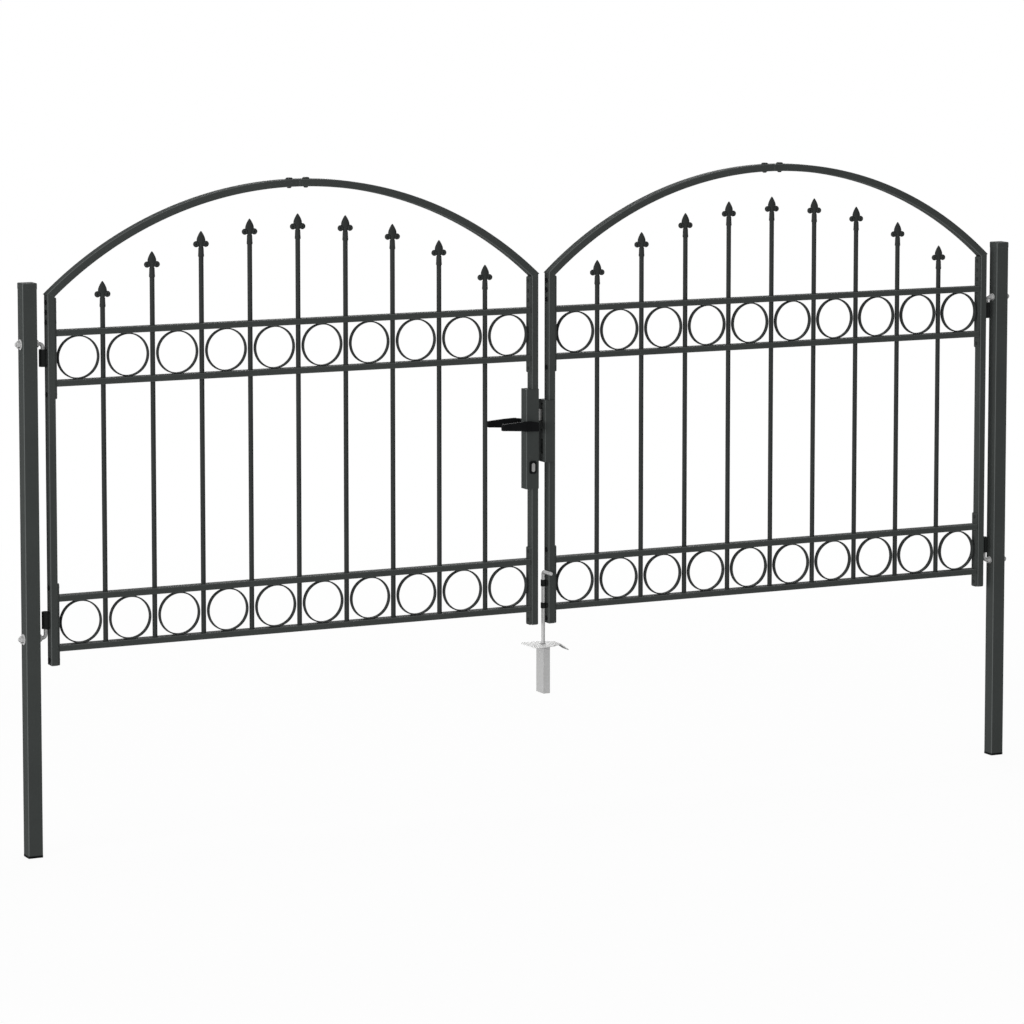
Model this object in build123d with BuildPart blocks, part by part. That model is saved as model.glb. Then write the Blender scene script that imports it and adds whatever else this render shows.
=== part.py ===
from build123d import *
import os
from math import acos, degrees, sqrt

# Double garden gate with two posts, in millimetres, +Z up, +X along the gate, +Y to the back.
# The origin is the middle of the left post's foot. The right leaf mirrors the left one.

os.makedirs("parts", exist_ok=True)

# Whole gate
gate_width = 3000.0
post_height = 1500.0
post_above_ground = 1057.0
shoulder_drop = 29.5
arch_rise = 275.5
stile_ground_gap = 57.0
hinge_gap = 30.0
middle_gap = 32.0

# Posts
post_width = 40.0
post_wall = 2.0
post_corner = 2.0
cap_thickness = 3.0
cap_plug = 12.0
cap_play = 0.2
foot_thickness = 6.0

# Frame tube of each leaf
stile_width = 20.0
stile_depth = 30.0
tube_wall = 1.5
tube_corner = 1.8
stile_cap_thickness = 5.0
stile_cap_plug = 10.0
stile_cap_bevel = 2.0
mitre_overrun = 4.0  # degrees

# Rails, end plates, rings and bars
rail_height = 16.0
rail_depth = 30.0
rail_corner = 1.5
bottom_rail_rise = 36.8
upper_pair_drop = 241.9
plate_thickness = 4.3
plate_depth = 26.0
plate_overhang = 32.0
upper_plate_drop = 11.0
ring_diameter = 114.6
ring_thickness = 3.5
ring_depth = 13.0
ring_sides = 12
ring_side_gap = 5.0
bar_diameter = 13.0
bar_sides = 8
bar_play = 0.2

# Spear finials
tip_drop = 91.7
point_length = 26.0
point_width = 25.0
point_bulge_share = 0.62
lobe_diameter = 16.0
lobe_reach = 14.0
lobe_sides = 8
head_length = 44.0
neck_width = 14.0
head_thickness = 9.0
sleeve_diameter = 15.5
sleeve_length = 24.0
socket_depth = 18.0

# Hinges
pin_diameter = 10.0
pin_sides = 8
pin_bend = 10.0
pin_play = 0.3
hinge_socket_diameter = 20.0
hinge_socket_length = 45.0
socket_sides = 12
upper_socket_drop = 189.2
lower_socket_rise = 97.6
upper_pin_rise = 15.0
lower_pin_drop = 23.6
pin_end_gap = 5.0
pin_stub = 14.0
pin_hole_play = 0.2

# Lock on the left leaf
case_width = 38.0
case_depth = 34.0
case_corner = 1.5
case_height = 275.0
case_place_share = 0.7837
spindle_rise = 179.0
spindle_backset = 24.0
spindle_size = 8.0
spindle_hole = 12.4
lever_length = 102.0
lever_drop = 10.0
lever_tip_rise = 5.0
lever_peak_rise = 11.5
lever_peak_place = 26.0
lever_hub_rise = 7.5
lever_hub_reach = 8.0
lever_thickness = 12.0
lever_reach = 33.0
lever_neck = 15.0
lever_corner = 3.0
lever_bevel = 2.0
lever_gap = 0.4
latch_rise = 186.0
latch_height = 32.0
latch_thickness = 13.0
latch_seat = 20.0
latch_throw = 12.0
latch_play = 0.4
latch_gap = 0.6
latch_bevel = 6.0
cylinder_rise = 60.0
cylinder_width = 10.0
cylinder_tall = 24.0
cylinder_corner = 3.0
cylinder_proud = 2.0
cylinder_play = 0.2
rosette_width = 20.0
rosette_tall = 35.0
rosette_thickness = 3.0
rosette_corner = 4.0

# Strike on the right leaf
strike_plate = 3.0
strike_flange = 5.0
strike_stand = 15.0
strike_reach = 15.0
strike_rise = 71.5
strike_height = 171.0
strike_slot_width = 14.2
slot_margin = 3.0
bolt_slot_rise = 92.5
bolt_slot_height = 42.0

# Drop bolt, its guides and the ground socket
rod_diameter = 10.0
rod_stand = 10.0
rod_drop = 12.0
rod_bend = 8.0
rod_handle = 55.0
rod_gap = 0.6
guide_diameter = 14.0
guide_play = 0.3
guide_lug_depth = 12.0
upper_guide_rise = 103.0
upper_guide_length = 18.5
lower_guide_rise = 42.5
lower_guide_length = 15.5
ground_plate_depth = 84.0
ground_plate_reach = 49.0
ground_plate_taper = 14.0
ground_plate_thickness = 3.0
ground_plate_corner = 4.0
ground_hole = 11.4
tongue_width = 38.0
tongue_start = 44.0
tongue_length = 26.0
tongue_fall = 18.0
ground_tube_width = 20.0
ground_tube_depth = 44.0
ground_tube_wall = 2.0
ground_tube_length = 132.0

# Places along the gate, worked out from the sizes
post_half = post_width / 2
far_post = gate_width - post_width
middle = far_post / 2
middle_plane = Plane.YZ.offset(middle)
leaf_start = post_half + hinge_gap
leaf_end = middle - middle_gap / 2
leaf_middle = (leaf_start + leaf_end) / 2
leaf_plane = Plane.YZ.offset(leaf_middle)
stile_half = stile_depth / 2
inner_start = leaf_start + stile_width
inner_end = leaf_end - stile_width
rail_start = inner_start + plate_thickness
rail_length = inner_end - plate_thickness - rail_start
ring_room = ring_diameter + bar_diameter + 2 * ring_side_gap
ring_count = round((rail_length + bar_diameter) / ring_room)
opening = (rail_length - (ring_count - 1) * bar_diameter) / ring_count
pitch = opening + bar_diameter
bar_places = [rail_start - bar_diameter / 2 + pitch * (i + 1) for i in range(ring_count - 1)]
ring_places = [rail_start + opening / 2 + pitch * i for i in range(ring_count)]
hinge_axis = leaf_start - hinge_socket_diameter / 2
lock_middle = leaf_end - case_width / 2
case_half = case_depth / 2
spindle_place = leaf_end - spindle_backset
right_stile_face = middle + middle_gap / 2
strike_face = right_stile_face - strike_stand
strike_half = stile_half + strike_flange
rod_place = right_stile_face - rod_stand
latch_nose = strike_face - latch_gap

# Heights above the posts' feet
ground_height = post_height - post_above_ground
stile_bottom = ground_height + stile_ground_gap
shoulder_height = post_height - shoulder_drop
crown_height = shoulder_height + arch_rise
half_span = leaf_middle - leaf_start
arch_radius = (half_span**2 + arch_rise**2) / (2 * arch_rise)
arch_centre = crown_height - arch_radius
arch_angle = degrees(acos((shoulder_height - arch_centre) / arch_radius))
under_radius = arch_radius - stile_width
inner_shoulder = arch_centre + sqrt(under_radius**2 - (leaf_middle - inner_start) ** 2)
bottom_rail_height = stile_bottom + bottom_rail_rise
bottom_rail_top = bottom_rail_height + rail_height
ring_rail_height = bottom_rail_top + ring_diameter
upper_pair_height = shoulder_height - upper_pair_drop
upper_ring_height = upper_pair_height + rail_height
top_rail_height = upper_ring_height + ring_diameter
lower_plate_top = ring_rail_height + rail_height + plate_overhang
upper_plate_bottom = upper_pair_height - plate_overhang
upper_plate_top = shoulder_height - upper_plate_drop
upper_socket_bottom = shoulder_height - upper_socket_drop
lower_socket_bottom = stile_bottom + lower_socket_rise
upper_pin_height = upper_socket_bottom + hinge_socket_length + upper_pin_rise
lower_pin_height = lower_socket_bottom - lower_pin_drop
case_room = upper_plate_bottom - lower_plate_top - case_height
case_bottom = lower_plate_top + case_room * case_place_share
spindle_height = case_bottom + spindle_rise
latch_middle = case_bottom + latch_rise + latch_height / 2
cylinder_height = case_bottom + cylinder_rise
strike_bottom = case_bottom + strike_rise
bolt_slot_middle = case_bottom + bolt_slot_rise + bolt_slot_height / 2
upper_guide_bottom = stile_bottom + upper_guide_rise
lower_guide_bottom = stile_bottom + lower_guide_rise
rod_top = upper_guide_bottom + upper_guide_length + rod_drop + rod_bend
up = (Align.CENTER, Align.CENTER, Align.MIN)


def finial_foot(place):
    rise = sqrt(arch_radius**2 - (place - leaf_middle) ** 2)
    return arch_centre + rise - tip_drop - head_length - sleeve_length


def publish(piece, name):
    piece.part.label = name
    export_step(piece.part, f"parts/{name}.step")


def publish_mirrored(piece, name):
    with BuildPart() as twin:
        mirror(piece.part, about=middle_plane)
    publish(twin, name)


# Outlines of the post, the frame tube and the rail
with BuildSketch() as post_outline:
    Rectangle(post_width, post_width)
    chamfer(post_outline.vertices(), post_corner)
with BuildSketch() as tube_outline:
    Rectangle(stile_width, stile_depth)
    chamfer(tube_outline.vertices(), tube_corner)
with BuildSketch() as rail_outline:
    Rectangle(rail_depth, rail_height)
    chamfer(rail_outline.vertices(), rail_corner)

# Posts: square tube with holes for the two hinge pins
with BuildPart() as left_post:
    with BuildSketch(Plane.XY.offset(foot_thickness)):
        add(post_outline.sketch)
        Rectangle(post_width - 2 * post_wall, post_width - 2 * post_wall, mode=Mode.SUBTRACT)
    extrude(amount=post_height - cap_thickness - foot_thickness)
    with BuildSketch(Plane.YZ):
        with Locations((0, lower_pin_height), (0, upper_pin_height)):
            RegularPolygon(pin_diameter / 2 + pin_hole_play, pin_sides)
    extrude(amount=post_width, both=True, mode=Mode.SUBTRACT)
publish(left_post, "left_post")
publish_mirrored(left_post, "right_post")

plug_width = post_width - 2 * post_wall - 2 * cap_play
with BuildPart() as post_cap:
    with BuildSketch(Plane.XY.offset(post_height - cap_thickness)):
        add(post_outline.sketch)
    extrude(amount=cap_thickness)
    with BuildSketch(Plane.XY.offset(post_height - cap_thickness)):
        Rectangle(plug_width, plug_width)
    extrude(amount=-cap_plug)
with BuildPart() as post_caps:
    add(post_cap.part)
    mirror(post_cap.part, about=middle_plane)
publish(post_caps, "post_caps")

with BuildPart() as post_foot:
    with BuildSketch():
        add(post_outline.sketch)
    extrude(amount=foot_thickness)
    with BuildSketch(Plane.XY.offset(foot_thickness)):
        Rectangle(plug_width, plug_width)
    extrude(amount=cap_plug)
with BuildPart() as post_feet:
    add(post_foot.part)
    mirror(post_foot.part, about=middle_plane)
publish(post_feet, "post_feet")


# Hinges: each bent pin goes through the post and turns into a socket on the stile
def hinge_pin(height, pin_end):
    with BuildPart() as pin:
        with BuildLine() as route:
            FilletPolyline(
                (-post_half - pin_stub, 0, height),
                (hinge_axis, 0, height),
                (hinge_axis, 0, pin_end),
                radius=pin_bend,
            )
        with BuildSketch(Plane(origin=route.line @ 0, z_dir=route.line % 0)):
            RegularPolygon(pin_diameter / 2, pin_sides)
        sweep()
    return pin.part


with BuildPart() as left_pintles:
    add(hinge_pin(upper_pin_height, upper_socket_bottom + pin_end_gap))
    add(hinge_pin(lower_pin_height, lower_socket_bottom + hinge_socket_length - pin_end_gap))
publish(left_pintles, "left_pintles")
publish_mirrored(left_pintles, "right_pintles")

with BuildPart() as left_hinge_sockets:
    for bottom in (lower_socket_bottom, upper_socket_bottom):
        with BuildSketch(Plane.XY.offset(bottom)):
            with Locations((hinge_axis, 0)):
                RegularPolygon(hinge_socket_diameter / 2, socket_sides)
                Circle(pin_diameter / 2 + pin_play, mode=Mode.SUBTRACT)
        extrude(amount=hinge_socket_length)
publish(left_hinge_sockets, "left_hinge_sockets")
publish_mirrored(left_hinge_sockets, "right_hinge_sockets")

# Stiles: upright tubes cut at the mitre where the arch begins
mitre = Plane(
    origin=(leaf_start, 0, shoulder_height),
    x_dir=(0, 1, 0),
    z_dir=(shoulder_height - inner_shoulder, 0, stile_width),
)
with BuildPart() as left_hinge_stile:
    with BuildSketch(Plane.XY.offset(stile_bottom + stile_cap_thickness)):
        with Locations((leaf_start + stile_width / 2, 0)):
            add(tube_outline.sketch)
            Rectangle(stile_width - 2 * tube_wall, stile_depth - 2 * tube_wall, mode=Mode.SUBTRACT)
    extrude(amount=shoulder_height - stile_bottom - stile_cap_thickness)
    split(bisect_by=mitre, keep=Keep.BOTTOM)
publish(left_hinge_stile, "left_hinge_stile")
publish_mirrored(left_hinge_stile, "right_hinge_stile")

with BuildPart() as whole_lock_stile:
    mirror(left_hinge_stile.part, about=leaf_plane)
publish_mirrored(whole_lock_stile, "right_lock_stile")

with BuildPart() as left_lock_stile:
    add(whole_lock_stile.part)
    with Locations((lock_middle, 0, case_bottom)):
        Box(case_width, case_depth, case_height, align=up, mode=Mode.SUBTRACT)
publish(left_lock_stile, "left_lock_stile")

with BuildPart() as stile_cap:
    with BuildSketch(Plane.XY.offset(stile_bottom)):
        with Locations((leaf_start + stile_width / 2, 0)):
            add(tube_outline.sketch)
    extrude(amount=stile_cap_thickness)
    chamfer(stile_cap.faces().sort_by(Axis.Z)[0].edges(), stile_cap_bevel)
    with BuildSketch(Plane.XY.offset(stile_bottom + stile_cap_thickness)):
        with Locations((leaf_start + stile_width / 2, 0)):
            Rectangle(
                stile_width - 2 * tube_wall - 2 * cap_play,
                stile_depth - 2 * tube_wall - 2 * cap_play,
            )
    extrude(amount=stile_cap_plug)
with BuildPart() as left_stile_caps:
    add(stile_cap.part)
    mirror(stile_cap.part, about=leaf_plane)
publish(left_stile_caps, "left_stile_caps")
publish_mirrored(left_stile_caps, "right_stile_caps")

# Arch: the same tube turned about the arch's centre, in two halves that meet at the crown
with BuildPart() as left_arch_hinge_half:
    with BuildSketch(Plane(origin=(leaf_middle, 0, arch_centre), x_dir=(0, 1, 0), z_dir=(1, 0, 0))):
        with Locations((0, arch_radius - stile_width / 2)):
            add(tube_outline.sketch, rotation=90)
    revolve(axis=Axis((leaf_middle, 0, arch_centre), (0, -1, 0)), revolution_arc=arch_angle + mitre_overrun)
    split(bisect_by=mitre, keep=Keep.TOP)
with BuildPart() as left_arch_lock_half:
    mirror(left_arch_hinge_half.part, about=leaf_plane)
publish(left_arch_hinge_half, "left_arch_hinge_half")
publish(left_arch_lock_half, "left_arch_lock_half")
publish_mirrored(left_arch_hinge_half, "right_arch_hinge_half")
publish_mirrored(left_arch_lock_half, "right_arch_lock_half")

# End plates that carry the rails on the stiles
with BuildPart() as left_end_plates:
    for face in (inner_start, inner_end - plate_thickness):
        for bottom, top in ((stile_bottom, lower_plate_top), (upper_plate_bottom, upper_plate_top)):
            with Locations((face + plate_thickness / 2, 0, bottom)):
                Box(plate_thickness, plate_depth, top - bottom, align=up)
publish(left_end_plates, "left_end_plates")
publish_mirrored(left_end_plates, "right_end_plates")

# Rails: the bars go through the upper three and stand on the bottom one
with BuildPart() as left_rails:
    with BuildSketch(Plane.YZ.offset(rail_start)):
        for bottom in (bottom_rail_height, ring_rail_height, upper_pair_height, top_rail_height):
            with Locations((0, bottom + rail_height / 2)):
                add(rail_outline.sketch)
    extrude(amount=rail_length)
    with BuildSketch(Plane.XY.offset(bottom_rail_top)):
        with Locations(*[(place, 0) for place in bar_places]):
            RegularPolygon(bar_diameter / 2 + bar_play, bar_sides)
    extrude(amount=shoulder_height - bottom_rail_top, mode=Mode.SUBTRACT)
publish(left_rails, "left_rails")
publish_mirrored(left_rails, "right_rails")

with BuildPart() as left_bars:
    for place in bar_places:
        with BuildSketch(Plane.XY.offset(bottom_rail_top)):
            with Locations((place, 0)):
                RegularPolygon(bar_diameter / 2, bar_sides)
        extrude(amount=finial_foot(place) + socket_depth - bottom_rail_top)
publish(left_bars, "left_bars")
publish_mirrored(left_bars, "right_bars")

# Spear finial: a flat head with two round lobes on a sleeve that slips over the bar
tip_height = sleeve_length + head_length
point_foot = tip_height - point_length
lobe_height = point_foot - lobe_diameter / 2
with BuildPart() as finial:
    with BuildSketch(Plane.XZ):
        Polygon(
            (0, tip_height),
            (-point_width / 2 * point_bulge_share, tip_height - point_length / 2),
            (-point_width / 2, point_foot),
            (-point_width / 2, lobe_height),
            (-neck_width / 2, sleeve_length),
            (neck_width / 2, sleeve_length),
            (point_width / 2, lobe_height),
            (point_width / 2, point_foot),
            (point_width / 2 * point_bulge_share, tip_height - point_length / 2),
            align=None,
        )
        with Locations((-lobe_reach, lobe_height), (lobe_reach, lobe_height)):
            RegularPolygon(lobe_diameter / 2, lobe_sides)
    extrude(amount=head_thickness / 2, both=True)
    with BuildSketch():
        RegularPolygon(sleeve_diameter / 2, bar_sides)
    extrude(amount=sleeve_length)
    with BuildSketch():
        RegularPolygon(bar_diameter / 2 + bar_play, bar_sides)
    extrude(amount=socket_depth, mode=Mode.SUBTRACT)
with BuildPart() as left_finials:
    with Locations(*[(place, 0, finial_foot(place)) for place in bar_places]):
        add(finial.part)
publish(left_finials, "left_finials")
publish_mirrored(left_finials, "right_finials")


# Rings of flat strip between each pair of rails
def ring_row(height):
    with BuildPart() as row:
        with BuildSketch(Plane.XZ):
            with Locations(*[(place, height + ring_diameter / 2) for place in ring_places]):
                RegularPolygon(ring_diameter / 2, ring_sides)
                RegularPolygon(ring_diameter / 2 - ring_thickness, ring_sides, mode=Mode.SUBTRACT)
        extrude(amount=ring_depth / 2, both=True)
    return row


left_upper_rings = ring_row(upper_ring_height)
left_lower_rings = ring_row(bottom_rail_top)
publish(left_upper_rings, "left_upper_rings")
publish(left_lower_rings, "left_lower_rings")
publish_mirrored(left_upper_rings, "right_upper_rings")
publish_mirrored(left_lower_rings, "right_lower_rings")

# Lock case with its latch pocket, spindle hole and cylinder hole
pocket_depth = latch_seat + latch_throw + latch_play
with BuildSketch() as cylinder_outline:
    Rectangle(cylinder_width, cylinder_tall)
    chamfer(cylinder_outline.vertices(), cylinder_corner)
with BuildSketch() as cylinder_hole:
    Rectangle(cylinder_width + 2 * cylinder_play, cylinder_tall + 2 * cylinder_play)
    chamfer(cylinder_hole.vertices(), cylinder_corner)
with BuildPart() as lock_case:
    with BuildSketch(Plane.XY.offset(case_bottom)) as case_outline:
        with Locations((lock_middle, 0)):
            Rectangle(case_width, case_depth)
        chamfer(case_outline.vertices(), case_corner)
    extrude(amount=case_height)
    with Locations((leaf_end - pocket_depth / 2, 0, latch_middle)):
        Box(
            pocket_depth,
            latch_thickness + 2 * latch_play,
            latch_height + 2 * latch_play,
            mode=Mode.SUBTRACT,
        )
    with Locations(Plane(origin=(spindle_place, 0, spindle_height), z_dir=(0, 1, 0))):
        Hole(spindle_hole / 2)
    with BuildSketch(Plane.XZ):
        with Locations((lock_middle, cylinder_height)):
            add(cylinder_hole.sketch)
    extrude(amount=case_depth, both=True, mode=Mode.SUBTRACT)
publish(lock_case, "lock_case")

with BuildPart() as lock_cylinder:
    with BuildSketch(Plane.XZ):
        with Locations((lock_middle, cylinder_height)):
            add(cylinder_outline.sketch)
    extrude(amount=case_half + rosette_thickness + cylinder_proud, both=True)
publish(lock_cylinder, "lock_cylinder")

with BuildPart() as lock_rosettes:
    for face, way in ((-case_half, -1), (case_half, 1)):
        seat = Plane(origin=(lock_middle, face, cylinder_height), x_dir=(1, 0, 0), z_dir=(0, way, 0))
        with BuildSketch(seat) as rosette:
            Rectangle(rosette_width, rosette_tall)
            chamfer(rosette.vertices(), rosette_corner)
            add(cylinder_hole.sketch, mode=Mode.SUBTRACT)
        extrude(amount=rosette_thickness)
publish(lock_rosettes, "lock_rosettes")

# Lever handle: the two levers turn on one spindle through the case
lever_foot = case_half + lever_gap
lever_tip = spindle_place - lever_length
lever_end = spindle_place + lever_hub_reach
with BuildPart() as front_lever:
    with BuildSketch(Plane(origin=(spindle_place, -lever_foot, spindle_height), z_dir=(0, -1, 0))):
        RegularPolygon(lever_neck / 2, socket_sides)
    extrude(amount=lever_reach)
    with BuildSketch(Plane.XZ.offset(lever_foot + lever_reach - lever_thickness)) as grip:
        Polygon(
            (lever_tip, spindle_height - lever_drop),
            (lever_end, spindle_height - lever_drop),
            (lever_end, spindle_height + lever_hub_rise),
            (spindle_place - lever_peak_place, spindle_height + lever_peak_rise),
            (lever_tip, spindle_height + lever_tip_rise),
            align=None,
        )
        chamfer(grip.vertices().group_by(Axis.X)[0] + grip.vertices().group_by(Axis.X)[-1], lever_corner)
    extrude(amount=lever_thickness)
    chamfer(front_lever.faces().sort_by(Axis.Y)[0].edges(), lever_bevel)
publish(front_lever, "front_lever")

with BuildPart() as back_lever:
    mirror(front_lever.part, about=Plane.XZ)
publish(back_lever, "back_lever")

with BuildPart() as lever_spindle:
    with BuildSketch(Plane.XZ):
        with Locations((spindle_place, spindle_height)):
            Rectangle(spindle_size, spindle_size)
    extrude(amount=lever_foot, both=True)
publish(lever_spindle, "lever_spindle")

with BuildPart() as latch_bolt:
    latch_length = latch_nose - leaf_end + latch_seat
    with Locations((latch_nose - latch_length / 2, 0, latch_middle)):
        Box(latch_length, latch_thickness, latch_height)
    chamfer(latch_bolt.edges().filter_by(Axis.Z).group_by(Axis.X)[-1].sort_by(Axis.Y)[-1], latch_bevel)
publish(latch_bolt, "latch_bolt")

# Strike: a channel on the right lock stile, with a slot for the latch and one for the lock's bolt
with BuildPart() as strike:
    with BuildSketch(Plane.XY.offset(strike_bottom)):
        with BuildLine():
            FilletPolyline(
                (right_stile_face + strike_reach, strike_half),
                (strike_face, strike_half),
                (strike_face, -strike_half),
                (right_stile_face + strike_reach, -strike_half),
                radius=strike_plate,
            )
            Polyline(
                (right_stile_face + strike_reach, -strike_half),
                (right_stile_face + strike_reach, -stile_half),
                (strike_face + strike_plate, -stile_half),
                (strike_face + strike_plate, stile_half),
                (right_stile_face + strike_reach, stile_half),
                (right_stile_face + strike_reach, strike_half),
            )
        make_face()
    extrude(amount=strike_height)
    with BuildSketch(Plane.YZ.offset(strike_face)):
        with Locations((0, latch_middle)):
            Rectangle(strike_slot_width, latch_height + 2 * slot_margin)
        with Locations((0, bolt_slot_middle)):
            Rectangle(strike_slot_width, bolt_slot_height)
    extrude(amount=strike_plate, mode=Mode.SUBTRACT)
publish(strike, "strike")

# Drop bolt and the two guides that hold it on the right lock stile
with BuildPart() as drop_bolt:
    with BuildLine() as route:
        FilletPolyline(
            (rod_place, 0, ground_height + rod_gap),
            (rod_place, 0, rod_top),
            (rod_place, -rod_handle, rod_top),
            radius=rod_bend,
        )
    with BuildSketch(Plane(origin=route.line @ 0, z_dir=route.line % 0)):
        RegularPolygon(rod_diameter / 2, pin_sides)
    sweep()
publish(drop_bolt, "drop_bolt")

guide_bore = rod_diameter / 2 + guide_play
with BuildPart() as bolt_guides:
    for bottom, length in (
        (lower_guide_bottom, lower_guide_length),
        (upper_guide_bottom, upper_guide_length),
    ):
        with BuildSketch(Plane.XY.offset(bottom)):
            with Locations((rod_place, 0)):
                RegularPolygon(guide_diameter / 2, socket_sides)
            with Locations(((rod_place + right_stile_face) / 2, 0)):
                Rectangle(right_stile_face - rod_place, guide_lug_depth)
            with Locations((rod_place, 0)):
                RegularPolygon(guide_bore, socket_sides, major_radius=False, mode=Mode.SUBTRACT)
        extrude(amount=length)
publish(bolt_guides, "bolt_guides")

# Ground socket: a plate at ground level with a bent tongue, on a tube set in the ground
plate_bottom = ground_height - ground_plate_thickness
plate_edge = rod_place + tongue_start
plate_half = ground_plate_depth / 2
with BuildPart() as ground_plate:
    with BuildSketch(Plane.XY.offset(plate_bottom)) as plate:
        Polygon(
            (rod_place - ground_plate_reach, -plate_half),
            (rod_place + ground_plate_taper, -plate_half),
            (plate_edge, -tongue_width / 2),
            (plate_edge, tongue_width / 2),
            (rod_place + ground_plate_taper, plate_half),
            (rod_place - ground_plate_reach, plate_half),
            align=None,
        )
        chamfer(plate.vertices().group_by(Axis.X)[0], ground_plate_corner)
        with Locations((rod_place, 0)):
            Circle(ground_hole / 2, mode=Mode.SUBTRACT)
    extrude(amount=ground_plate_thickness)
    with BuildSketch(Plane.XZ):
        with BuildLine():
            Polyline(
                (plate_edge, ground_height),
                (plate_edge + tongue_length, ground_height - tongue_fall),
                (plate_edge + tongue_length, plate_bottom - tongue_fall),
                (plate_edge, plate_bottom),
                close=True,
            )
        make_face()
    extrude(amount=tongue_width / 2, both=True)
publish(ground_plate, "ground_plate")

with BuildPart() as ground_tube:
    with BuildSketch(Plane.XY.offset(plate_bottom - ground_tube_length)):
        with Locations((rod_place, 0)):
            Rectangle(ground_tube_width, ground_tube_depth)
            Rectangle(
                ground_tube_width - 2 * ground_tube_wall,
                ground_tube_depth - 2 * ground_tube_wall,
                mode=Mode.SUBTRACT,
            )
    extrude(amount=ground_tube_length)
publish(ground_tube, "ground_tube")
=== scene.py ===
import math

import bmesh
import bpy
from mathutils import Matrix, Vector


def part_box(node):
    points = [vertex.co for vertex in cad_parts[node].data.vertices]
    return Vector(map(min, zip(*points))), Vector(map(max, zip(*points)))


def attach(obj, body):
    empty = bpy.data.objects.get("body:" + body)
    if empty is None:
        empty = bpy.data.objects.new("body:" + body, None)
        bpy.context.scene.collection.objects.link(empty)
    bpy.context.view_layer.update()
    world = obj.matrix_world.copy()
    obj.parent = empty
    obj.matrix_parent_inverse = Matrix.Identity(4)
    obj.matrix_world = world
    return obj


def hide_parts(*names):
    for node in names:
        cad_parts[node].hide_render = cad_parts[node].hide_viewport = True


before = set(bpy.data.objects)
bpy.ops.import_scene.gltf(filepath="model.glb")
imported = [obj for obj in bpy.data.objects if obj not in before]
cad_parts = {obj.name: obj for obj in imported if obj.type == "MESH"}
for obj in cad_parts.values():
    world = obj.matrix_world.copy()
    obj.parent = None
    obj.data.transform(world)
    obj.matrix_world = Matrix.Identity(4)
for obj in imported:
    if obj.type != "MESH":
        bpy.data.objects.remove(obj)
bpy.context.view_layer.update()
bpy.ops.object.select_all(action="DESELECT")
print("stage: frame loaded")


# Shader maths: one socket, with the operators that the finishes use
class Shade:
    def __init__(self, tree, socket=None):
        self.tree = tree
        self.socket = socket

    def node(self, kind, settings=None, values=None, out=0):
        made = self.tree.nodes.new(kind)
        for key, value in (settings or {}).items():
            setattr(made, key, value)
        for key, value in (values or {}).items():
            if isinstance(value, Shade):
                self.tree.links.new(value.socket, made.inputs[key])
            else:
                made.inputs[key].default_value = value
        return Shade(self.tree, made.outputs[out] if made.outputs else None)

    def maths(self, operation, first, second=0.0):
        return self.node("ShaderNodeMath", {"operation": operation}, {0: first, 1: second})

    def __add__(self, other):
        return self.maths("ADD", self, other)

    def __radd__(self, other):
        return self.maths("ADD", other, self)

    def __sub__(self, other):
        return self.maths("SUBTRACT", self, other)

    def __rsub__(self, other):
        return self.maths("SUBTRACT", other, self)

    def __mul__(self, other):
        return self.maths("MULTIPLY", self, other)

    def __rmul__(self, other):
        return self.maths("MULTIPLY", other, self)

    def between(self, low, high):  # 0 at low, 1 at high
        return self.node("ShaderNodeMapRange", {"clamp": True},
                         {"Value": self, "From Min": low, "From Max": high})

    def colours(self, first, second):  # first where this is 0, second where it is 1
        return self.node("ShaderNodeMix", {"data_type": "RGBA"},
                         {0: self, 6: first, 7: second}, out=2)


def newFinish(name):
    finish = bpy.data.materials.new(name)
    finish.use_nodes = True
    finish.node_tree.nodes.clear()
    return finish, Shade(finish.node_tree)


def noise(shade, place, scale, detail):
    return shade.node("ShaderNodeTexNoise", None,
                      {"Vector": place, "Scale": scale, "Detail": detail})


def bumped(shade, strength, depth, height):
    return shade.node("ShaderNodeBump", None, {"Strength": strength, "Distance": depth,
                                              "Height": height}, out="Normal")


def mixed(first, second, share):  # a share of the first, and the rest of the second
    return first * share + second * (1 - share)


def axisOf(shade, vector, axis):
    return shade.node("ShaderNodeSeparateXYZ", None, {0: vector}, out=axis)


def skinned(shade, values):
    skin = shade.node("ShaderNodeBsdfPrincipled", None, values)
    shade.node("ShaderNodeOutputMaterial", None, {"Surface": skin})


# Powder coat: even anthracite with a fine orange peel, a faint cloudiness and a little dust on top
# Frame, slim pieces and hinges each have a dark tone, a light tone and the share of painted
# highlight on the rounded corners
# In all finishes a noise is a scale and a detail, and a range goes from none to full
coat = {"frame": ((0.0345, 0.0378, 0.0365, 1), (0.0410, 0.0447, 0.0432, 1), 0.60),
        # the slim pieces' tones are a darker copy of the frame's, painted shade
        "slimShaded": ((0.0235, 0.0255, 0.0248, 1), (0.0290, 0.0315, 0.0306, 1), 0.0),
        "hinge": ((0.0100, 0.0108, 0.0106, 1), (0.0135, 0.0145, 0.0142, 1), 0.0),
        # edge is the colour of the painted highlight on the frame's rounded corners
        "edge": (0.120, 0.127, 0.125, 1), "cornerHighlightRange": (0.10, 0.24),
        "dust": (0.055, 0.060, 0.058, 1), "dustShare": 0.25, "dustRange": (0.30, 0.75),
        "lyingRange": (0.55, 1.0), "cloud": (7.0, 4.0), "cloudRange": (0.28, 0.72),
        "cloudShare": 0.7, "peel": (330.0, 1.0), "peelShare": 0.6, "grain": (1500.0, 2.0),
        "bumpStrength": 0.35, "bumpDepth": 0.00018, "gloss": 0.015, "roughness": 0.60,
        "peelRough": 0.10, "dustRough": 0.3}


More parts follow.
